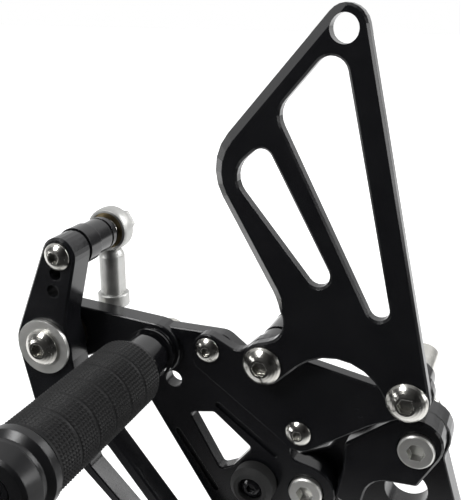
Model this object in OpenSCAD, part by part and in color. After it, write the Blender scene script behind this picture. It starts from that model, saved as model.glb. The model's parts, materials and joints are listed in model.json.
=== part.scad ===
// Rider footrest set for one side of a motorcycle: frame plates, heel guard,
// knurled footpeg and shift lever with its rod end.
// Everything is drawn lying flat, outboard side up, and stood() turns it upright:
// X points to the rear of the machine, Z up, and the rider's side is -Y.
// A height in this file is the distance outboard of the face that meets the frame.

/* [Plates] */
// Thickness of the plate that bolts to the frame
back_t = 10; // [6:0.5:14]
// Thickness of the plate clamped on its outboard face
clamp_t = 10; // [8:0.5:14]
// Thickness of the base plate's web
web_t = 6; // [4:0.5:8]
// Extra thickness of the base plate's arm
arm_step = 2.5; // [1:0.5:4]
// Thickness of the guard carrier
carrier_t = 5; // [4:0.5:8]
// Thickness of the heel guard
guard_t = 5; // [3:0.5:8]
// Small chamfer round the plates' edges
edge_c = 0.5; // [0.2:0.1:0.8]
// Broad bevel on the guard's leading edge
guard_bevel = 3.4; // [2:0.2:4]

/* [Frame bolts] */
// Rear to front distance of the two frame bolts
frame_dx = 39.3; // [36:0.5:44]
// Height difference of the two frame bolts
frame_dz = 27.2; // [24:0.5:31]
// Thread diameter of the large screws
m8 = 8; // [8:0.5:8]
// How far the frame bolts stand out of the frame face
bolt_reach = 16; // [10:1:25]

/* [Guard screws] */
// Place of the rear guard screw, along X
rear_ear_x = -3.1; // [-4:0.1:-2]
// Place of the rear guard screw, along Z
rear_ear_z = 23.5; // [23:0.1:25]
// Place of the front guard screw, along X
front_ear_x = -53.9; // [-55:0.1:-53]
// Place of the front guard screw, along Z
front_ear_z = 27.6; // [27:0.1:29]
// Length of the standoff behind the front guard screw
standoff_l = 38; // [24:1:44]
// Diameter of the standoff
standoff_d = 14; // [12:0.5:14]

/* [Heel guard] */
// Place of the top hole, along X
guard_hole_x = -29.8; // [-31:0.1:-28]
// Place of the top hole, along Z
guard_hole_z = 142.2; // [140:0.1:144]
// Diameter of the top hole
guard_hole_d = 9.2; // [6:0.2:9.4]

/* [Footpeg] */
// Place of the peg axis, along X
peg_x = -100; // [-101:0.5:-98]
// Place of the peg axis, along Z
peg_z = 22.5; // [20:0.5:24]
// Diameter over the knurl
peg_d = 26.2; // [24:0.2:27]
// Distance from the arm's face to the knurled barrel
peg_neck = 21; // [18:0.5:26]
// Length of the knurled barrel
peg_l = 62; // [50:1:70]
// Grooves round the barrel
peg_grooves = 5; // [3:1:7]
// Length of the smooth end cap
peg_cap_l = 15; // [13:1:22]

/* [Shift lever] */
// Place of the pivot, along X
pivot_x = -139.6; // [-142:0.2:-138]
// Place of the pivot, along Z
pivot_z = 23.3; // [22:0.1:25]
// Thickness of the lever
lever_t = 12; // [10:0.5:14]
// Diameter of the pivot shaft
shaft_d = 12; // [10:0.5:12]
// Running clearance of the pivot, on the radius
fit = 0.03; // [0.02:0.01:0.08]
// Distance from the pivot to the link screw
link_r = 38; // [36:0.5:42]
// Angle of the link arm above the horizontal
link_angle = 77; // [70:1:84]
// Pitch of the adjusting holes
link_pitch = 7.2; // [6.8:0.1:7.6]
// Thickness of the two ribs of the toe arm
toe_arm_t = 9; // [7:0.5:10]
// Width of each rib
rib_w = 2.8; // [2:0.1:4]
// Place of the toe peg, along X
toe_x = -74; // [-76:0.5:-70]
// Place of the toe peg, along Z
toe_z = -68.5; // [-73:0.5:-66]
// Diameter of the toe peg
toe_d = 14; // [12:0.5:18]
// Length of the toe peg
toe_l = 30; // [24:1:40]

/* [Rod end] */
// Length of the spacer between lever and rod end
spacer_l = 22.5; // [20:0.5:28]
// Diameter of the spacer's flange
spacer_d = 14; // [13:0.5:16]
// Outer diameter of the eye
eye_d = 18; // [18:0.5:20]
// Width of the eye
eye_w = 7; // [6:0.2:7.6]
// Diameter of the ball
ball_d = 11.6; // [11.4:0.1:12]
// Width of the ball
ball_w = 8.4; // [8.2:0.1:9]
// Distance from the ball to the end of the shank
rod_l = 33; // [28:1:40]
// Thread diameter of the link screw
m6 = 6; // [6:0.5:6]

/* [Hidden] */
$fn = 64;

anodised = "#141517";
gloss_black = "#0c0d0f";
stainless = "#c9c6bf";
zinc = "#a9aaa6";
bronze = "#b28b4c";
rubber_black = "#17181a";

// Heights outboard of the frame face
clamp_h = back_t;
face_h = back_t + clamp_t;
web_h = face_h - web_t;
arm_h = face_h + arm_step;
arm_low = web_h + 0.25;
carrier_h = face_h + carrier_t;
guard_h = carrier_h + guard_t;
thrust_t = 2.5;
lever_h = arm_h + thrust_t;
lever_top = lever_h + lever_t;
washer_t = 1.5;
play = 0.1;
lever_back = lever_h + play;
lever_face = lever_top - play;

m8_hole = m8 + 0.3;
m8_pitch_d = m8 - 0.8;
m6_hole = m6 + 0.3;
m5 = 5;
m5_hole = m5 + 0.3;
m8_nut_af = 13;
m8_nut_t = 6.5;
m6_nut_af = 10;
m6_nut_t = 6;

frame_bolts_at = [[0, 0], [-frame_dx, -frame_dz]];
rear_ear = [rear_ear_x, rear_ear_z];
front_ear = [front_ear_x, front_ear_z];
guard_hole = [guard_hole_x, guard_hole_z];
front_pad = [-77, 27.3];
low_pad = [-41.5, 0.4];
pads = [front_pad, low_pad];
peg = [peg_x, peg_z];
pivot = [pivot_x, pivot_z];
link_dir = [cos(link_angle), sin(link_angle)];
link = pivot + link_r * link_dir;
toe = [toe_x, toe_z];
spare_hole = [-93.5, 9.9];
bump = [-59.1, -26.5];

// An outline is a belt round circles [x, z, radius], anticlockwise; a negative radius
// puts the circle outside, so that the belt bends inwards round it.
function spot(c) = [c[0], c[1]];
function polar(r, a) = r * [cos(a), sin(a)];
function leaving(a, b) = let(d = spot(b) - spot(a))
  atan2(d[1], d[0]) - acos((a[2] - b[2]) / norm(d));
function turn(a) = a - 360 * floor(a / 360);
function sweep_at(c, from, to) = c[2] > 0 ? turn(to - from) : -turn(from - to);
function arc_at(c, grow, from, to) = let(
    sweep = sweep_at(c, from, to),
    steps = max(2, ceil(abs(sweep) / 16)))
  [for (k = [0:steps]) spot(c) + polar(c[2] + grow, from + sweep * k / steps)];
function belt(c, grow = 0) = let(n = len(c))
  [for (i = [0:n - 1])
    each arc_at(c[i], grow, leaving(c[(i + n - 1) % n], c[i]), leaving(c[i], c[(i + 1) % n]))];

// A solid through a stack of outlines: rings are [outline, height] from the bottom up
module stack(rings) {
  n = len(rings[0][0]);
  top = len(rings) - 1;
  points = [for (r = rings) each [for (p = r[0]) [p[0], p[1], r[1]]]];
  walls = [for (k = [0:top - 1], i = [0:n - 1]) let(j = (i + 1) % n)
    [k * n + i, (k + 1) * n + i, (k + 1) * n + j, k * n + j]];
  polyhedron(points, concat([[for (i = [0:n - 1]) i]], walls, [[for (i = [n - 1:-1:0]) top * n + i]]));
}

// A plate with chamfered edges, and the cutter for a window with chamfered rims
module plate(circles, low, high, c = edge_c) {
  over = 0.3;
  intersection() {
    stack([[belt(circles, -c - over), low - over], [belt(circles), low + c], [belt(circles), high - c],
      [belt(circles, -c - over), high + over]]);
    translate([-300, -200, low]) cube([400, 400, high - low]);
  }
}
module window(circles, low, high, c = edge_c) {
  stack([[belt(circles, c + 1), low - 1], [belt(circles), low + c], [belt(circles), high - c],
    [belt(circles, c + 1), high + 1]]);
}

module stood() {
  rotate([90, 0, 0]) children();
}
module at(p, h = 0) {
  translate([p[0], p[1], h]) children();
}
module hole(p, d, low, high) {
  at(p, low - 1) cylinder(d = d, h = high - low + 2);
}
module ring(od, id, h) {
  difference() {
    cylinder(d = od, h = h);
    translate([0, 0, -1]) cylinder(d = id, h = h + 2);
  }
}

// Socket screws stand on their head's seat, shank downwards
module hex_socket(af, depth) {
  cylinder(d = af / cos(30), h = depth + 1, $fn = 6);
}
module button_screw(d, head_d, head_t, l) {
  r = head_d / 2;
  rim = head_t * 0.25;
  bulge = (pow(r, 2) + pow(head_t - rim, 2)) / (2 * (head_t - rim));
  crown = [for (k = [0.9, 0.78, 0.64, 0.5]) [k * r, head_t - bulge + sqrt(pow(bulge, 2) - pow(k * r, 2))]];
  difference() {
    union() {
      rotate_extrude() polygon(concat([[0, 0], [r, 0], [r, rim]], crown, [[0, crown[3][1]]]));
      translate([0, 0, -l]) cylinder(d = d, h = l + rim / 2);
    }
    translate([0, 0, head_t - d * 0.36]) hex_socket(d * 0.62, head_t);
  }
}
module cap_screw(d, head_d, head_t, l, thread_l, thread_d) {
  rim = 0.6;
  difference() {
    union() {
      cylinder(d = head_d, h = head_t - rim);
      translate([0, 0, head_t - rim]) cylinder(d1 = head_d, d2 = head_d - 2 * rim, h = rim);
      translate([0, 0, thread_l - l]) cylinder(d = d, h = l - thread_l);
      translate([0, 0, 0.8 - l]) cylinder(d = thread_d, h = thread_l - 0.8);
      translate([0, 0, -l]) cylinder(d1 = thread_d - 1.6, d2 = thread_d, h = 0.8);
    }
    translate([0, 0, head_t - d * 0.5]) hex_socket(d * 0.75, head_t);
  }
}
module nut(af, bore, t) {
  difference() {
    intersection() {
      cylinder(d = af / cos(30), h = t, $fn = 6);
      union() {
        cylinder(d1 = af, d2 = af + 2 * t, h = t);
        cylinder(d1 = af + 2 * t, d2 = af, h = t);
      }
    }
    translate([0, 0, -1]) cylinder(d = bore, h = t + 2);
  }
}

// Frame side plates
boss_r = 10.5;
lobe_r = 11.2;
back_outline = [[0, 0, boss_r], [-21, -1, 5], [-36.5, -9, -4], [-frame_dx, -frame_dz, lobe_r],
  [-23.5, -53.5, -14], [-5, -38.5, 8], [9.6, -37.5, 8], [13.9, -7, -5]];
back_hole_d = 16;
back_hole = [-3.8, -23.5];
module back_plate() {
  color(anodised) stood() difference() {
    plate(back_outline, 0, back_t);
    for (p = frame_bolts_at) hole(p, m8_hole, 0, back_t);
    hole(back_hole, back_hole_d, 0, back_t);
  }
}

clamp_outline = [[0, 1.9, 9.2], [-5.6, 5.2, 5.6], [-23, -4.4, 2.6], [-30.8, -13.5, -5], [-25.4, -25.4, 2.6],
  [-20.5, -27.5, 2], [-9, -24, -8.5], [0, -13.2, 1.8]];
head_pocket_d = 14;
head_pocket = 6;
module clamp_plate() {
  color(anodised) stood() difference() {
    plate(clamp_outline, clamp_h, face_h, 0.8);
    hole(frame_bolts_at[0], m8_hole, clamp_h, face_h);
    at(frame_bolts_at[0], face_h - head_pocket) cylinder(d = head_pocket_d, h = head_pocket + 1);
  }
}

// Base plate: thick arm to the lever pivot, thin web with window and grooves
web_outline = [[-111.4, 24, 7.5], [-72.5, -41.5, 5], [-63, -42, 5], [-52.5, -50.5, -8],
  [-frame_dx, -frame_dz, lobe_r], [-41.8, -11.2, -4], [-41.5, 0.4, 7], [-74.5, 25.6, 6.3]];
arm_outline = [[pivot_x, pivot_z, 12.3], [-121.8, 7.8, -9.2], [peg_x, peg_z, 10.4]];
web_window = [[-84.6, -4.4, 1.6], [-73.6, -23.4, 1.6], [-69.6, -21.4, 1.6], [-63.6, -13.9, 1.6], [-77.4, -3.4, 2]];
groove_w = 2.3;
groove_depth = 1;
grooves = [[[-92.2, -12.4], [-76.1, -34.9]], [[-75.1, 2.3], [-51.8, -14.1]]];
module groove(from, to) {
  run = belt([[from[0], from[1], groove_w / 2], [to[0], to[1], groove_w / 2]]);
  stack([[run, face_h - groove_depth], [run, face_h + 1]]);
}
module base_plate() {
  color(anodised) stood() difference() {
    union() {
      plate(web_outline, web_h, face_h);
      plate(arm_outline, arm_low, arm_h);
      at(frame_bolts_at[1], clamp_h) cylinder(r = lobe_r - 1, h = web_h - clamp_h + 1);
    }
    window(web_window, web_h, face_h);
    for (g = grooves) groove(g[0], g[1]);
    hole(pivot, shaft_d + 2 * fit, web_h, arm_h);
    hole(peg, m8_hole, web_h, arm_h);
    hole(spare_hole, 6.8, web_h, arm_h);
    for (p = pads) hole(p, m5_hole, web_h, face_h);
    hole(frame_bolts_at[1], m8_hole, clamp_h, face_h);
    at(frame_bolts_at[1], face_h - head_pocket) cylinder(d = head_pocket_d, h = head_pocket + 1);
    hole(bump, m5_hole, web_h, face_h);
  }
}

carrier_outline = [[rear_ear_x, rear_ear_z, 8], [-14.7, 29.7, -5], [-43, 34.9, -5], [front_ear_x, front_ear_z, 8],
  [-65.8, 34.6, -5.5], [-77, 27.3, 6], [-78.9, 22.6, 4.4], [-41.5, 0.4, 7.8], [-0.4, -17, -30]];
module guard_carrier() {
  color(anodised) stood() difference() {
    plate(carrier_outline, face_h, carrier_h);
    for (p = [rear_ear, front_ear]) hole(p, m8_hole, face_h, carrier_h);
    for (p = pads) hole(p, m5_hole, face_h, carrier_h);
  }
}

// Heel guard: a blade with two windows, and a broad bevel milled along its leading edge
guard_top = [guard_hole_x, guard_hole_z, 7.4];
guard_corner = [-53.7, 95.8, 19];
guard_neck = [-55.1, 44.3, -8.2];
bevel_run = 7;
guard_outline = [guard_top, guard_corner, guard_neck, [front_ear_x, front_ear_z, 8],
  [-28.2, 15.8, -18.5], [rear_ear_x, rear_ear_z, 7.4]];
bevel_neck = [each spot(guard_neck) - polar(bevel_run, leaving(guard_corner, guard_neck) + 90), guard_neck[2]];
bevel_top = [each spot(guard_corner) - polar(90, leaving(guard_top, guard_corner) + 90), guard_corner[2]];
bevel_line = [bevel_top, guard_corner, bevel_neck, [-95, 45, 5], [-95, -20, 5], [60, -20, 5], [60, 180, 5]];
guard_window_rear = [[-33.5, 128.6, 5.5], [-42, 115.2, 7.6], [-14.6, 54, 3.6]];
guard_window_front = [[-55.5, 100.2, 4], [-55.6, 94.2, 8.4], [-35.4, 63.4, 4.2]];
module heel_guard() {
  color(anodised) stood() difference() {
    intersection() {
      plate(guard_outline, carrier_h, guard_h, 0.8);
      stack([[belt(bevel_line, 1), carrier_h - 1], [belt(bevel_line, 1), guard_h - guard_bevel - 1],
        [belt(bevel_line, -guard_bevel - 1), guard_h + 1]]);
    }
    window(guard_window_rear, carrier_h, guard_h, 0.8);
    window(guard_window_front, carrier_h, guard_h, 0.8);
    hole(guard_hole, guard_hole_d, carrier_h, guard_h);
    for (p = [rear_ear, front_ear]) hole(p, m8_hole, carrier_h, guard_h);
  }
}

// Fasteners of the plates
m8_head_d = 14;
m8_head_t = 4.4;
spacer_short = face_h - clamp_h;
spacer_short_d = 12.6;
sleeve_d = 11.4;
sleeve_l = 16;
module guard_screws() {
  color(stainless) stood() {
    at(front_ear, guard_h) button_screw(m8, m8_head_d, m8_head_t, guard_h - face_h + standoff_l + 9);
    at(rear_ear, guard_h) button_screw(m8, m8_head_d, m8_head_t, guard_h - face_h + spacer_short + sleeve_l - 3);
  }
}
module guard_standoff() {
  low = face_h - standoff_l;
  color(gloss_black) stood() at(front_ear, low) difference() {
    union() {
      cylinder(d = standoff_d - 2, h = standoff_l);
      cylinder(d = standoff_d, h = standoff_l * 0.36);
      translate([0, 0, standoff_l * 0.42]) cylinder(d = standoff_d, h = standoff_l * 0.34);
      translate([0, 0, standoff_l * 0.82]) cylinder(d = standoff_d, h = standoff_l * 0.18);
    }
    translate([0, 0, -1]) cylinder(d = m8_hole, h = standoff_l + 2);
  }
}
module guard_spacer() {
  color(gloss_black) stood() at(rear_ear, clamp_h) ring(spacer_short_d, m8_hole, spacer_short);
}
module guard_nuts() {
  color(stainless) stood() {
    at(front_ear, face_h - standoff_l - m8_nut_t) nut(m8_nut_af, m8, m8_nut_t);
    at(rear_ear, clamp_h - sleeve_l) ring(sleeve_d, m8, sleeve_l);
  }
}
module carrier_screws() {
  color(stainless) stood() for (p = pads) at(p, carrier_h)
    button_screw(m5, 9.5, 2.8, carrier_t + web_t - 0.5);
}
module frame_bolts() {
  seat = face_h - head_pocket;
  color(stainless) stood() for (p = frame_bolts_at) at(p, seat)
    cap_screw(m8, 13, m8, seat + bolt_reach, bolt_reach, m8_pitch_d);
}

bump_d = 17;
bump_t = 8;
module bump_stop() {
  color(rubber_black) stood() at(bump, face_h) difference() {
    rotate_extrude() polygon([[0, 0], [bump_d / 2 - 1, 0], [bump_d / 2, 1], [bump_d / 2, bump_t - 2],
      [bump_d / 2 - 2, bump_t], [0, bump_t]]);
    translate([0, 0, -1]) cylinder(d = m5_hole, h = bump_t + 2);
    translate([0, 0, bump_t - 3]) cylinder(d = 9.8, h = 4);
  }
}
module bump_screw() {
  color(gloss_black) stood() at(bump, face_h + bump_t - 3)
    button_screw(m5, 9.2, 2.6, bump_t - 3 + web_t);
}

// Footpeg: collar, tapered mount, knurled barrel, end cap and its two screws
peg_low = arm_h + peg_neck;
peg_top = peg_low + peg_l;
groove_d = 1.2;
mount_d = 15.6;
module peg_collar() {
  color(gloss_black) stood() at(peg, arm_h) difference() {
    union() {
      cylinder(d = 18, h = 1.4);
      cylinder(d = 16, h = 3);
      translate([0, 0, 2.6]) cylinder(d1 = 18, d2 = 19.4, h = 0.8);
      translate([0, 0, 3.4]) cylinder(d = 19.4, h = 0.8);
    }
    translate([0, 0, -1]) cylinder(d = m8_hole, h = 8);
  }
}
module peg_mount() {
  base = arm_h + 4.2;
  l = peg_low - base;
  color(gloss_black) stood() at(peg, base) difference() {
    rotate_extrude() polygon([[0, 0], [mount_d / 2, 0], [mount_d / 2, 1.2], [mount_d / 2 + 1.2, 3.4],
      [mount_d / 2 + 1.6, l - 4.6], [mount_d / 2, l - 4], [mount_d / 2, l - 3.2], [peg_d * 0.42, l - 2.6],
      [peg_d * 0.42, l], [5, l], [5, l + 14], [0, l + 14]]);
    translate([0, 0, -1]) cylinder(d = m8, h = l + 10);
  }
}
module footpeg() {
  band = (peg_l - groove_d) / (peg_grooves + 1);
  color(anodised) stood() at(peg, peg_low) difference() {
    union() {
      cylinder(d1 = peg_d - 1.6, d2 = peg_d, h = 0.8);
      translate([0, 0, 0.8]) cylinder(d = peg_d, h = peg_l - 0.8);
    }
    for (k = [1:peg_grooves]) translate([0, 0, k * band]) ring(peg_d + 2, peg_d - 1.4, groove_d);
    translate([0, 0, -1]) cylinder(d = 10, h = 15.5);
    translate([0, 0, peg_l - 16]) cylinder(d = m6, h = 20);
  }
}
module peg_end_cap() {
  r = peg_d / 2;
  color(gloss_black) stood() at(peg, peg_top) difference() {
    rotate_extrude() polygon([[0, 0], [r - 1, 0], [r + 0.6, 1.6], [r + 0.6, 4.4], [r - 1.4, 6.4],
      [r - 1.4, 8], [r - 0.4, 9], [r - 2.2, peg_cap_l - 1], [r - 3.2, peg_cap_l], [0, peg_cap_l]]);
    translate([0, 0, -1]) cylinder(d = m6_hole, h = peg_cap_l + 2);
    translate([0, 0, peg_cap_l - 6]) cylinder(d = 11, h = 8);
  }
}
module peg_bolt() {
  color(stainless) stood() at(peg, web_h) rotate([180, 0, 0])
    cap_screw(m8, 13, m8, arm_h - web_h + peg_neck + 6, 12, m8 - 0.2);
}
module peg_cap_screw() {
  color(gloss_black) stood() at(peg, peg_top + peg_cap_l - 6) cap_screw(m6, 10, 5.5, peg_cap_l + 6, 10, m6 - 0.2);
}

// Shift lever and its pivot
lever_top_boss = [link[0], link[1], 7];
lever_outline = [lever_top_boss, [pivot_x, pivot_z, 12.9], [-130.8, -2.2, 15.8], [toe_x, toe_z, 7.4],
  [-98.1, 19.8, -30], [pivot_x, pivot_z, 11.3], [-118, 33.3, -12]];
toe_window = [[-120.5, -24.7, 5.2 - rib_w], [-84.5, -58.5, 6.9 - rib_w], [-115.8, -17, 5.2 - rib_w]];
toe_arm_from = 31;
bush_d = shaft_d + 4;
module shift_lever() {
  arm = toe - pivot;
  step = lever_t - toe_arm_t;
  color(anodised) stood() difference() {
    plate(lever_outline, lever_back, lever_face, 0.8);
    at(pivot, lever_h + step / 2) rotate([0, 0, atan2(arm[1], arm[0])]) translate([toe_arm_from, -40, -step])
      cube([120, 80, step * 1.5]);
    window(toe_window, lever_h, lever_top, 0.5);
    hole(pivot, bush_d, lever_h, lever_top);
    hole(link, m6_hole, lever_h, lever_top);
    for (k = [1:2]) hole(link - k * link_pitch * link_dir, 5, lever_h, lever_top);
    hole(toe, m6_hole, lever_h, lever_top);
  }
}
module pivot_bush() {
  color(bronze) stood() at(pivot, lever_back) ring(bush_d, shaft_d + 2 * fit, lever_face - lever_back);
}
module pivot_shaft() {
  color(stainless) stood() at(pivot, arm_low) ring(shaft_d, m8, lever_top - arm_low);
}
module thrust_washer() {
  color(bronze) stood() at(pivot, arm_h) ring(20, shaft_d + 0.4, thrust_t);
}
module pivot_washer() {
  color(stainless) stood() at(pivot, lever_top) ring(21.7, m8_hole, washer_t);
}
module pivot_screw() {
  color(stainless) stood() at(pivot, lever_top + washer_t) button_screw(m8, m8_head_d, m8_head_t, washer_t + 10);
}
module pivot_nut() {
  color(stainless) stood() at(pivot, arm_low) rotate([180, 0, 0])
    cap_screw(m8, 16, 6, 12, 10, m8 - 0.2);
}

// Link: screw, spacer, rod end and nut
ball_h = lever_back - spacer_l - ball_w / 2;
eye_r = eye_d / 2;
race_d = eye_d - 3.4;
module link_screw() {
  reach = lever_face - lever_back + spacer_l + ball_w + m6_nut_t + 1.5;
  color(stainless) stood() at(link, lever_face) button_screw(m6, 10.5, 3.3, reach);
}
module link_spacer() {
  nose = 1.5;
  color(gloss_black) stood() at(link, lever_back - spacer_l) difference() {
    union() {
      translate([0, 0, nose]) cylinder(d = spacer_d - 1.5, h = spacer_l - nose);
      translate([0, 0, spacer_l * 0.68]) cylinder(d = spacer_d + 1, h = spacer_l * 0.32);
      translate([0, 0, spacer_l * 0.27]) cylinder(d = spacer_d - 0.5, h = spacer_l * 0.36);
      translate([0, 0, spacer_l * 0.12]) cylinder(d = spacer_d - 0.5, h = spacer_l * 0.1);
      cylinder(d1 = 9, d2 = spacer_d - 1.5, h = nose);
    }
    translate([0, 0, -1]) cylinder(d = m6_hole, h = spacer_l + 2);
  }
}
module rod_ball() {
  color(stainless) stood() at(link, ball_h) difference() {
    intersection() {
      sphere(d = ball_d);
      translate([0, 0, -ball_w / 2]) cylinder(d = ball_d, h = ball_w);
    }
    translate([0, 0, -ball_w]) cylinder(d = m6 + 0.1, h = 2 * ball_w);
  }
}
module rod_race() {
  color(bronze) stood() at(link, ball_h) difference() {
    translate([0, 0, -eye_w / 2 + 0.4]) cylinder(d = race_d, h = eye_w - 0.8);
    sphere(d = ball_d + 0.1);
  }
}
module rod_end() {
  shank_d = 10.5;
  collar_d = 13;
  collar_l = 5.5;
  color(zinc) stood() at(link, ball_h) difference() {
    union() {
      translate([0, 0, -eye_w / 2]) cylinder(d = eye_d, h = eye_w);
      rotate([90, 0, 0]) {
        cylinder(d = shank_d, h = rod_l);
        translate([0, 0, rod_l - collar_l]) cylinder(d = collar_d, h = collar_l);
      }
    }
    translate([0, 0, -eye_w]) cylinder(d = race_d, h = 2 * eye_w);
    rotate([90, 0, 0]) translate([0, 0, rod_l - 18]) cylinder(d = 5.1, h = 20);
    for (s = [-1, 1]) translate([s * (shank_d / 2 + 4.2), -rod_l + collar_l + 8, 0]) cube([10, 16, 20], center = true);
  }
}
module link_nut() {
  color(zinc) stood() at(link, ball_h - ball_w / 2 - m6_nut_t) nut(m6_nut_af, m6, m6_nut_t);
}

// Toe peg
module toe_peg() {
  color(gloss_black) stood() at(toe, lever_face) difference() {
    rotate_extrude() polygon([[0, 0], [toe_d / 2 - 1.5, 0], [toe_d / 2 - 1.5, 3], [toe_d / 2, 4],
      [toe_d / 2, toe_l - 3], [toe_d / 2 - 1, toe_l - 2], [toe_d / 2 - 1, toe_l - 1],
      [toe_d / 2 - 2, toe_l], [0, toe_l]]);
    translate([0, 0, -1]) cylinder(d = m6, h = 16);
  }
}
module toe_screw() {
  color(stainless) stood() at(toe, lever_top - toe_arm_t) rotate([180, 0, 0])
    cap_screw(m6, 10, 6, toe_arm_t + 12, 12, m6 - 0.2);
}

back_plate();
clamp_plate();
base_plate();
guard_carrier();
heel_guard();
guard_screws();
guard_standoff();
guard_spacer();
guard_nuts();
carrier_screws();
frame_bolts();
bump_stop();
bump_screw();
footpeg();
peg_mount();
peg_collar();
peg_end_cap();
peg_bolt();
peg_cap_screw();
shift_lever();
pivot_bush();
pivot_shaft();
pivot_screw();
pivot_washer();
thrust_washer();
pivot_nut();
link_screw();
link_spacer();
link_nut();
rod_ball();
rod_race();
rod_end();
toe_peg();
toe_screw();
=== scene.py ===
import bpy
import bmesh
import json
import math
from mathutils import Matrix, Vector


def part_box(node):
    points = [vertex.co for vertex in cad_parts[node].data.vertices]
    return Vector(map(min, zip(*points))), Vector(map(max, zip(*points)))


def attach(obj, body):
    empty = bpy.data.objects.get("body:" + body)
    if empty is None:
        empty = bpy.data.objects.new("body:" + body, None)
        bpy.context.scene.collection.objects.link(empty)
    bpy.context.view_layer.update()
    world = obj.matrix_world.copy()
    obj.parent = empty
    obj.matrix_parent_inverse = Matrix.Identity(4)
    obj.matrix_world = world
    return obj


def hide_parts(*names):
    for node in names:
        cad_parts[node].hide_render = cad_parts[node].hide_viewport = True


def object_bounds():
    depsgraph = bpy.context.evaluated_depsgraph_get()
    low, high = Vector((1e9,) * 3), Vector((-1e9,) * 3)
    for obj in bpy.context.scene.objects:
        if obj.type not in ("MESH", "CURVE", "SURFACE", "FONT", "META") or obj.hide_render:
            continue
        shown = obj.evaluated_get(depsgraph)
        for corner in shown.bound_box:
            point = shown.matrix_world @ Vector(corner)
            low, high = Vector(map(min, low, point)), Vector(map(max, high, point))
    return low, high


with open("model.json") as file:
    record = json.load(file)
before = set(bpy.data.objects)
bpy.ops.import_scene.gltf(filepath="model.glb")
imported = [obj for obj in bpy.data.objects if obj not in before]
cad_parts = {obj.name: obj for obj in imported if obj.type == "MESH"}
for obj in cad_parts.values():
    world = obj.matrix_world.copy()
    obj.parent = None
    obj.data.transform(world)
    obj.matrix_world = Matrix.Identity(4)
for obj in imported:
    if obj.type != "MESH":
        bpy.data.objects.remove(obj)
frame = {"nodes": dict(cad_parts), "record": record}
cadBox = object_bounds()
nodes = frame["nodes"]
print("frame loaded:", len(nodes), "nodes")

mergeDistance = 1e-7  # points closer than this are one point
white = (1, 1, 1, 1)


def addNode(tree, kind, inputs=None, **properties):  # each input is a value, or the socket that feeds it
    node = tree.nodes.new("ShaderNode" + kind)
    for key, value in properties.items():
        setattr(node, key, value)
    for key, value in (inputs or {}).items():
        if isinstance(value, bpy.types.NodeSocket):
            tree.links.new(value, node.inputs[key])
        else:
            node.inputs[key].default_value = value
    return node


def addMath(tree, operation, *values):
    return addNode(tree, "Math", dict(enumerate(values)), operation=operation).outputs[0]


def addRange(tree, value, fromMin, fromMax, toMin=0.0, toMax=1.0, blend="SMOOTHSTEP"):
    inputs = {"Value": value, "From Min": fromMin, "From Max": fromMax, "To Min": toMin, "To Max": toMax}
    return addNode(tree, "MapRange", inputs, interpolation_type=blend).outputs["Result"]


def newMaterial(name):
    material = bpy.data.materials.new(name)
    material.use_nodes = True
    tree = material.node_tree
    tree.nodes.clear()
    shader = addNode(tree, "BsdfPrincipled")
    out = addNode(tree, "OutputMaterial", {"Surface": shader.outputs["BSDF"]})
    return material, tree, shader, out


surfaceSettings = {
    "patchDetail": 5.0,
    "patchRoughness": 0.62,
    "grainDetail": 2.0,
    "grainShare": 0.35,      # of the grain in the roughness
    "markStretch": (260.0, 1900.0, 900.0),
    "markTurn": (0.3, 0.7, 0.5),
    "markDetail": 3.0,
    "markFrom": 0.62,        # noise above this starts to be a mark
    "markTo": 0.72,
    "markRoughness": 0.25,
    "roughFrom": 0.35,
    "roughTo": 0.95,
    "edgeSamples": 6,
    "bumpDistance": 0.0001,
    "coatRoughness": 0.06,
}


def makeSurfaceGroup():  # grain, patchy tone and handling marks, in one group for every finish
    s = surfaceSettings
    group = bpy.data.node_groups.new("surfaceDetail", "ShaderNodeTree")
    for name, kind in (("Tone A", "Color"), ("Tone B", "Color"), ("Rough Low", "Float"),
                       ("Rough High", "Float"), ("Patch Scale", "Float"), ("Grain Scale", "Float"),
                       ("Scratch", "Float")):
        group.interface.new_socket(name, in_out="INPUT", socket_type="NodeSocket" + kind)
    for name, kind in (("Color", "Color"), ("Roughness", "Float"), ("Height", "Float")):
        group.interface.new_socket(name, in_out="OUTPUT", socket_type="NodeSocket" + kind)
    given = group.nodes.new("NodeGroupInput").outputs
    out = group.nodes.new("NodeGroupOutput")
    place = addNode(group, "TexCoord").outputs["Object"]
    patch = addNode(group, "TexNoise", {
        "Vector": place, "Scale": given["Patch Scale"], "Detail": s["patchDetail"],
        "Roughness": s["patchRoughness"]}).outputs["Fac"]
    grain = addNode(group, "TexNoise", {
        "Vector": place, "Scale": given["Grain Scale"], "Detail": s["grainDetail"]}).outputs["Fac"]
    stretch = addNode(group, "Mapping", {
        "Vector": place, "Scale": s["markStretch"], "Rotation": s["markTurn"]})
    marks = addNode(group, "TexNoise", {
        "Vector": stretch.outputs["Vector"], "Scale": 1.0, "Detail": s["markDetail"]}).outputs["Fac"]
    line = addRange(group, marks, s["markFrom"], s["markTo"], blend="LINEAR")
    markAmount = addMath(group, "MULTIPLY", line, given["Scratch"])
    tone = addNode(group, "Mix", {0: patch, 6: given["Tone A"], 7: given["Tone B"]}, data_type="RGBA")
    uneven = addMath(group, "MULTIPLY_ADD", grain, s["grainShare"], patch)
    rough = addRange(group, uneven, s["roughFrom"], s["roughTo"], given["Rough Low"], given["Rough High"],
                     blend="LINEAR")
    roughSum = addMath(group, "MULTIPLY_ADD", markAmount, s["markRoughness"], rough)
    height = addMath(group, "SUBTRACT", grain, markAmount)
    group.links.new(tone.outputs[2], out.inputs["Color"])
    group.links.new(roughSum, out.inputs["Roughness"])
    group.links.new(height, out.inputs["Height"])
    return group


surfaceGroup = makeSurfaceGroup()

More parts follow.
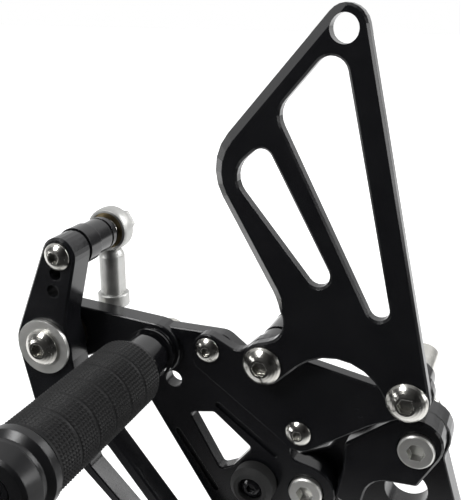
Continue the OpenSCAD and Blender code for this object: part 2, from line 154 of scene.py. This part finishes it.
coated = dict(metal=0.0, specular=0.5, coat=0.0)
bareMetal = dict(metal=1.0, specular=0.5, coat=0.0)
finishes = {  # two tones, roughness range, patch and grain scale, marks, bump height, edge radius
    "anodised": dict(coated, toneA=(0.0035, 0.0037, 0.0046), toneB=(0.0085, 0.0087, 0.0100),
                     low=0.15, high=0.27, patch=70.0, grain=3200.0, scratch=0.10, bump=0.04, edge=0.00026),
    "gloss_black": dict(coated, toneA=(0.0030, 0.0030, 0.0036), toneB=(0.0070, 0.0070, 0.0080),
                        low=0.07, high=0.16, patch=110.0, grain=2600.0, scratch=0.1, bump=0.02,
                        edge=0.00025, specular=0.45, coat=0.1),
    "softBlack": dict(coated, toneA=(0.0035, 0.0035, 0.0042), toneB=(0.0085, 0.0085, 0.0095),
                      low=0.26, high=0.38, patch=90.0, grain=2600.0, scratch=0.15, bump=0.04,
                      edge=0.0005, specular=0.45),
    "mattBlack": dict(coated, toneA=(0.005, 0.005, 0.0055), toneB=(0.013, 0.013, 0.0135),
                      low=0.42, high=0.58, patch=80.0, grain=2400.0, scratch=0.2, bump=0.08,
                      edge=0.0002, specular=0.26),
    "stainless": dict(bareMetal, toneA=(0.50, 0.49, 0.455), toneB=(0.66, 0.65, 0.615), low=0.13, high=0.26,
                      patch=160.0, grain=2800.0, scratch=0.35, bump=0.05, edge=0.00022),
    "satinSteel": dict(bareMetal, toneA=(0.56, 0.56, 0.54), toneB=(0.74, 0.735, 0.71), low=0.38, high=0.50,
                       patch=160.0, grain=2600.0, scratch=0.5, bump=0.08, edge=0.00022),
    "zinc": dict(bareMetal, toneA=(0.34, 0.343, 0.335), toneB=(0.62, 0.618, 0.60), low=0.36, high=0.54,
                 patch=260.0, grain=2200.0, scratch=0.4, bump=0.16, edge=0.00025),
    "bronze": dict(bareMetal, toneA=(0.24, 0.185, 0.10), toneB=(0.40, 0.32, 0.19), low=0.28, high=0.46,
                   patch=260.0, grain=2400.0, scratch=0.25, bump=0.08, edge=0.0002),
    "oiledBronze": dict(bareMetal, toneA=(0.045, 0.038, 0.028), toneB=(0.085, 0.072, 0.050),
                        low=0.30, high=0.50, patch=260.0, grain=2400.0, scratch=0.25, bump=0.08,
                        edge=0.0002),
    "rubber": dict(coated, toneA=(0.012, 0.012, 0.012), toneB=(0.022, 0.022, 0.022), low=0.62, high=0.8,
                   patch=200.0, grain=2000.0, scratch=0.2, bump=0.25, edge=0.0004, specular=0.4),
}


def makeFinish(name, v):
    s = surfaceSettings
    material, tree, shader, _ = newMaterial(name)
    detail = tree.nodes.new("ShaderNodeGroup")
    detail.node_tree = surfaceGroup
    for key, value in (("Tone A", (*v["toneA"], 1)), ("Tone B", (*v["toneB"], 1)), ("Rough Low", v["low"]),
                       ("Rough High", v["high"]), ("Patch Scale", v["patch"]), ("Grain Scale", v["grain"]),
                       ("Scratch", v["scratch"])):
        detail.inputs[key].default_value = value
    soft = addNode(tree, "Bevel", {"Radius": v["edge"]}, samples=s["edgeSamples"])  # no edge is knife sharp
    bump = addNode(tree, "Bump", {
        "Strength": v["bump"], "Distance": s["bumpDistance"], "Height": detail.outputs["Height"],
        "Normal": soft.outputs["Normal"]})
    tree.links.new(bump.outputs["Normal"], shader.inputs["Normal"])
    tree.links.new(detail.outputs["Color"], shader.inputs["Base Color"])
    tree.links.new(detail.outputs["Roughness"], shader.inputs["Roughness"])
    shader.inputs["Metallic"].default_value = v["metal"]
    shader.inputs["Specular IOR Level"].default_value = v["specular"]
    shader.inputs["Coat Weight"].default_value = v["coat"]
    shader.inputs["Coat Roughness"].default_value = s["coatRoughness"]
    return material


materials = {name: makeFinish(name, values) for name, values in finishes.items()}
slotOf = {s["node"]: s["material_slot"] for s in frame["record"]["subparts"]}
ownFinish = {  # nodes that look different from the rest of their slot
    "pivot_washer": "satinSteel",
    "thrust_washer": "oiledBronze",
    "frame_bolts": "satinSteel",
    "peg_end_cap": "softBlack",
}
for name, obj in nodes.items():
    obj.data.materials.clear()
    obj.data.materials.append(materials[ownFinish.get(name, slotOf[name])])
print("materials made:", len(materials))


def addPiece(name, bm, body, slotName, smoothAngle=35):
    bmesh.ops.remove_doubles(bm, verts=bm.verts, dist=mergeDistance)
    bmesh.ops.recalc_face_normals(bm, faces=bm.faces)
    mesh = bpy.data.meshes.new(name)
    bm.to_mesh(mesh)
    bm.free()
    mesh.materials.append(materials[slotName])
    if smoothAngle:
        mesh.shade_smooth()
        mesh.set_sharp_from_angle(angle=math.radians(smoothAngle))
    obj = bpy.data.objects.new(name, mesh)
    bpy.context.scene.collection.objects.link(obj)
    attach(obj, body)
    return obj


def addProfile(bm, points, closed=False):
    verts = [bm.verts.new(point) for point in points]
    following = verts[1:] + verts[:1] if closed else verts[1:]
    return verts + [bm.edges.new(pair) for pair in zip(verts, following)]


def spinProfile(bm, points, centre, axis, steps, closed=False):
    bmesh.ops.spin(bm, geom=addProfile(bm, points, closed), cent=centre, axis=axis, angle=2 * math.pi,
                   steps=steps, use_merge=True, use_duplicate=False)


pegSettings = {
    "centre": (-0.100, 0.0225),
    "inner": -0.0435,        # where the barrel starts, next to its arm
    "outer": -0.1055,
    "radius": 0.01310,
    "chamfer": 0.0008,
    "groove": 0.0012,
    "grooveDepth": 0.0007,
    "grooveSlope": 0.0001,
    "grooves": 5,
    "toothPitch": 0.00135,
    "toothHeight": 0.00052,
    "bore": 0.0050,
    "outerBoreShare": 0.62,  # the bore is narrower behind the end cap
    "sameRadius": 1e-6,      # faces this close to the root circle carry a tooth
}


def makePeg():
    s = pegSettings
    x, z = s["centre"]
    inner, outer, chamfer, slope = s["inner"], s["outer"], s["chamfer"], s["grooveSlope"]
    length = abs(outer - inner)
    band = (length - s["groove"]) / (s["grooves"] + 1)
    rimR = s["radius"] - chamfer
    rootR = s["radius"] - s["toothHeight"]
    grooveR = s["radius"] - s["grooveDepth"]
    around = int(2 * math.pi * rootR / s["toothPitch"])
    profile = [(s["bore"], inner), (rimR, inner), (rootR, inner - chamfer)]
    at = chamfer
    for k in range(s["grooves"] + 1):
        end = (k + 1) * band if k < s["grooves"] else length - chamfer
        rows = max(2, round((end - at) / s["toothPitch"]))
        profile += [(rootR, inner - at - (end - at) * i / rows) for i in range(1, rows + 1)]
        if k < s["grooves"]:
            profile += [(grooveR, inner - end - slope), (grooveR, inner - end - s["groove"] + slope),
                        (rootR, inner - end - s["groove"])]
            at = end + s["groove"]
    profile += [(rimR, outer), (s["bore"] * s["outerBoreShare"], outer)]
    bm = bmesh.new()
    spinProfile(bm, [(x + r, y, z) for r, y in profile], (x, 0, z), (0, 1, 0), around)
    bmesh.ops.remove_doubles(bm, verts=bm.verts, dist=mergeDistance)
    bmesh.ops.recalc_face_normals(bm, faces=bm.faces)
    teeth = []
    for face in bm.faces:
        radii = [math.hypot(v.co.x - x, v.co.z - z) for v in face.verts]
        if all(abs(r - rootR) < s["sameRadius"] for r in radii):
            teeth.append(face)
    bmesh.ops.poke(bm, faces=teeth, offset=s["toothHeight"], center_mode="MEAN")
    piece = addPiece("pegKnurl", bm, "plates", "anodised", 0)
    piece.data.materials[0] = materials["mattBlack"]
    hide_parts("footpeg")
    print("peg knurled:", len(teeth), "teeth")


makePeg()

threadSettings = {  # free threads of the frame bolts, which show behind the plates
    "axes": {"frameThreadRear": (0.0, 0.0), "frameThreadFront": (-0.0393, -0.0272)},  # x and z of each bolt
    "start": 0.0006,
    "end": 0.0150,
    "radius": 0.0040,
    "pitch": 0.00125,
    "depth": 0.00048,
    "crestStart": 0.42,      # these three are shares of the pitch
    "crestEnd": 0.52,
    "rootStart": 0.94,
    "steps": 32,             # for one turn
    "smoothAngle": 50,
}


def makeThread(name, x, z):
    s = threadSettings
    crest, root = s["radius"], s["radius"] - s["depth"]
    start, pitch = s["start"], s["pitch"]
    ridge = [(root, 0), (crest, s["crestStart"]), (crest, s["crestEnd"]), (root, s["rootStart"])]
    turns = max(1, int((s["end"] - start) / pitch) - 1)
    bm = bmesh.new()
    outline = addProfile(bm, [(x + r, start + pitch * share, z) for r, share in ridge], closed=True)
    bmesh.ops.spin(bm, geom=outline, cent=(x, 0, z), axis=(0, 1, 0), dvec=(0, pitch / s["steps"], 0),
                   angle=2 * math.pi * turns, steps=s["steps"] * turns, use_merge=False,
                   use_duplicate=False)
    ends = [e for e in bm.edges if e.is_boundary]
    bmesh.ops.holes_fill(bm, edges=ends, sides=0)
    addPiece(name, bm, "plates", "stainless", s["smoothAngle"])


for name, (x, z) in threadSettings["axes"].items():
    makeThread(name, x, z)
print("threads cut")

rodEndSettings = {  # forged eye, tapered neck, shank with two spanner flats, and its collar
    "bore": 0.0073,
    "eye": 0.0090,
    "halfWidth": 0.0035,
    "rimRound": 0.0007,
    "crown": 0.0002,         # the eye's rim falls by this much
    "crownShare": 0.80,      # of the half width, where it has fallen
    "bandShare": 0.35,       # of the half width, where it starts to fall
    "eyeSteps": 96,
    "shank": 0.00525,
    "shankSteps": 72,
    "flat": 0.00445,
    "flatLength": 0.016,
    "flatStep": 0.0001,
    "collar": 0.0065,
    "collarLength": 0.0055,
    "collarFoot": 0.0005,
    "collarShoulder": 0.0004,
    "length": 0.0330,
    "threadBore": 0.00255,
    "threadDepth": 0.018,
    "neck": ((0.0049, -0.0102), (0.0043, -0.0091), (0.0033, -0.0082), (0, -0.0078)),  # radius and height
    "smoothAngle": 32,
}


def makeRodEnd():
    s = rodEndSettings
    low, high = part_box("rod_ball")
    centre = (Vector(low) + Vector(high)) / 2
    w, eye = s["halfWidth"], s["eye"]
    half = [(s["bore"], w), (eye - s["rimRound"], w), (eye - s["crown"], w * s["crownShare"]),
            (eye, w * s["bandShare"])]
    rim = [(r, -y) for r, y in half] + half[::-1]
    bm = bmesh.new()
    spinProfile(bm, [(centre.x + r, centre.y + y, centre.z) for r, y in rim], centre, (0, 1, 0),
                s["eyeSteps"], closed=True)
    shank, collar, foot, shoulder = s["shank"], s["collar"], s["collarFoot"], s["collarShoulder"]
    end = -s["length"]
    boreTop = end + s["threadDepth"]
    top = end + s["collarLength"]
    flatTop = top + s["flatLength"]
    step = s["flatStep"]
    profile = [(0, boreTop), (s["threadBore"], boreTop), (s["threadBore"], end), (collar - foot, end),
               (collar, end + foot), (collar, top - shoulder), (collar - shoulder, top), (shank, top),
               (shank, top + step), (shank, flatTop), (shank, flatTop + step), *s["neck"]]
    post = bmesh.new()
    spinProfile(post, [(centre.x + r, centre.y, centre.z + z) for r, z in profile], centre, (0, 0, 1),
                s["shankSteps"])
    for v in post.verts:
        x, z = v.co.x - centre.x, v.co.z - centre.z
        if top + step / 2 < z < flatTop + step / 2 and abs(x) > s["flat"]:
            v.co.x = centre.x + math.copysign(s["flat"], x)
    bmesh.ops.remove_doubles(post, verts=post.verts, dist=mergeDistance)
    part = bpy.data.meshes.new("rodEndPost")
    post.to_mesh(part)
    post.free()
    bm.from_mesh(part)
    bpy.data.meshes.remove(part)
    piece = addPiece("rodEndForged", bm, "rod", "zinc", s["smoothAngle"])
    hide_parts("rod_end")
    print("rod end made")


makeRodEnd()

roomSettings = {  # the floor's tone and glow, and the distances over which they change
    "halfWidth": 4.0,
    "drop": 0.013,           # room for the toe arm at its lowest
    "tone": 0.86,
    "roughness": 0.8,
    "glowNear": 0.45,
    "glowFar": 1.0,
    "near": 0.22,
    "far": 0.75,
    "darkFrom": -0.02,       # in front of this y, metal sees the unlit side of the studio
    "darkTo": -0.14,
    "dark": 0.035,
    "sideFrom": 0.30,        # and the same to the right of this x
    "sideTo": 0.90,
    "sideShare": 0.75,
}


def makeFloor():
    s = roomSettings
    bm = bmesh.new()
    bmesh.ops.create_grid(bm, x_segments=1, y_segments=1, size=s["halfWidth"])
    bmesh.ops.translate(bm, verts=bm.verts, vec=(0, 0, cadBox[0][2] - s["drop"]))
    mesh = bpy.data.meshes.new("floor")
    bm.to_mesh(mesh)
    bm.free()
    material, tree, shader, out = newMaterial("floor")
    split = addNode(tree, "SeparateXYZ", {0: addNode(tree, "TexCoord").outputs["Object"]})
    flat = addNode(tree, "CombineXYZ", {"X": split.outputs["X"], "Y": split.outputs["Y"]})
    reach = addNode(tree, "VectorMath", {0: flat.outputs[0]}, operation="LENGTH").outputs["Value"]
    rise = addRange(tree, reach, s["near"], s["far"], s["glowNear"], s["glowFar"])
    path = addNode(tree, "LightPath").outputs
    seen = addMath(tree, "ADD", path["Is Camera Ray"], path["Is Glossy Ray"])
    glow = addMath(tree, "MULTIPLY", seen, rise)
    shader.inputs["Base Color"].default_value = (s["tone"], s["tone"], s["tone"], 1)
    shader.inputs["Roughness"].default_value = s["roughness"]
    shader.inputs["Emission Color"].default_value = white
    tree.links.new(glow, shader.inputs["Emission Strength"])
    front = addRange(tree, split.outputs["Y"], s["darkFrom"], s["darkTo"])
    side = addRange(tree, split.outputs["X"], s["sideFrom"], s["sideTo"], 0.0, s["sideShare"])
    unlit = addMath(tree, "MULTIPLY", addMath(tree, "MAXIMUM", front, side), path["Is Glossy Ray"])
    shade = addNode(tree, "Emission", {"Strength": s["dark"]})
    mix = addNode(tree, "MixShader", {0: unlit, 1: shader.outputs[0], 2: shade.outputs[0]})
    tree.links.new(mix.outputs[0], out.inputs["Surface"])
    mesh.materials.append(material)
    floor = bpy.data.objects.new("floor", mesh)
    bpy.context.scene.collection.objects.link(floor)


makeFloor()

worldSettings = {  # brightness in front, behind and for plain surfaces, and where it changes
    "front": 0.035,
    "back": 1.0,
    "diffuse": 0.45,
    "heightShare": 0.35,     # how much a direction's height counts as behind
    "fadeFrom": -0.30,
    "fadeTo": 0.40,
    "sideFrom": 0.22,
    "sideTo": 0.55,
    "sideShare": 0.25,
}


def makeWorld():  # a bright sweep behind and above, and the darker studio on the camera's side
    s = worldSettings
    world = bpy.data.worlds.new("studio")
    bpy.context.scene.world = world
    world.use_nodes = True
    tree = world.node_tree
    tree.nodes.clear()
    split = addNode(tree, "SeparateXYZ", {0: addNode(tree, "TexCoord").outputs["Generated"]})
    behind = addMath(tree, "MULTIPLY_ADD", split.outputs["Z"], s["heightShare"], split.outputs["Y"])
    fade = addRange(tree, behind, s["fadeFrom"], s["fadeTo"], s["front"], s["back"])
    side = addRange(tree, split.outputs["X"], s["sideFrom"], s["sideTo"], 1.0, s["sideShare"])
    panel = addMath(tree, "MULTIPLY", fade, side)
    path = addNode(tree, "LightPath").outputs
    soft = addRange(tree, path["Is Diffuse Ray"], 0.0, 1.0, 1.0, s["diffuse"], "LINEAR")
    strength = addMath(tree, "MULTIPLY", panel, soft)
    shaped = addNode(tree, "Background", {"Color": white, "Strength": strength})
    plain = addNode(tree, "Background", {"Color": white})
    mix = addNode(tree, "MixShader", {0: path["Is Camera Ray"], 1: shaped.outputs[0], 2: plain.outputs[0]})
    addNode(tree, "OutputWorld", {"Surface": mix.outputs[0]})


makeWorld()

lampSettings = {  # place, aim, size and power of each soft lamp
    "keyLamp": ((-0.42, -0.55, 0.70), (-0.06, -0.03, 0.03), 0.26, 5.0),
    "rimLamp": ((0.55, 0.45, 0.55), (-0.06, -0.03, 0.04), 0.50, 6.0),
    "sideLamp": ((0.66, -0.10, 0.20), (-0.06, -0.03, 0.04), 0.30, 1.4),
    "fillLamp": ((-0.62, -0.42, 0.02), (-0.06, -0.03, 0.04), 0.30, 1.2),
}


def facing(direction):
    return direction.to_track_quat("-Z", "Y").to_euler()


for name, (place, target, size, power) in lampSettings.items():
    light = bpy.data.lights.new(name, "AREA")
    light.shape = "SQUARE"
    light.size = size
    light.energy = power
    lamp = bpy.data.objects.new(name, light)
    lamp.location = place
    lamp.rotation_euler = facing(Vector(target) - Vector(place))
    bpy.context.scene.collection.objects.link(lamp)

cameraSettings = {
    "place": (0.0296, -0.2700, 0.1543),
    "azimuth": 21.71,
    "elevation": 18.33,
    "focalPixels": 800.0,
    "widthPixels": 461.0,
    "sensorWidth": 36.0,
    "clipStart": 0.01,
    "clipEnd": 50.0,
}


def makeCamera():
    s = cameraSettings
    azimuth, elevation = math.radians(s["azimuth"]), math.radians(s["elevation"])
    forward = Vector((-math.sin(azimuth) * math.cos(elevation), math.cos(azimuth) * math.cos(elevation),
                      -math.sin(elevation)))
    data = bpy.data.cameras.new("photoCamera")
    data.sensor_fit = "HORIZONTAL"
    data.sensor_width = s["sensorWidth"]
    data.lens = s["sensorWidth"] * s["focalPixels"] / s["widthPixels"]
    data.clip_start = s["clipStart"]
    data.clip_end = s["clipEnd"]
    camera = bpy.data.objects.new("photoCamera", data)
    camera.location = s["place"]
    camera.rotation_euler = facing(forward)
    bpy.context.scene.collection.objects.link(camera)
    bpy.context.scene.camera = camera


makeCamera()
bpy.context.scene.view_settings.view_transform = "Standard"
print("camera, light and floor set")
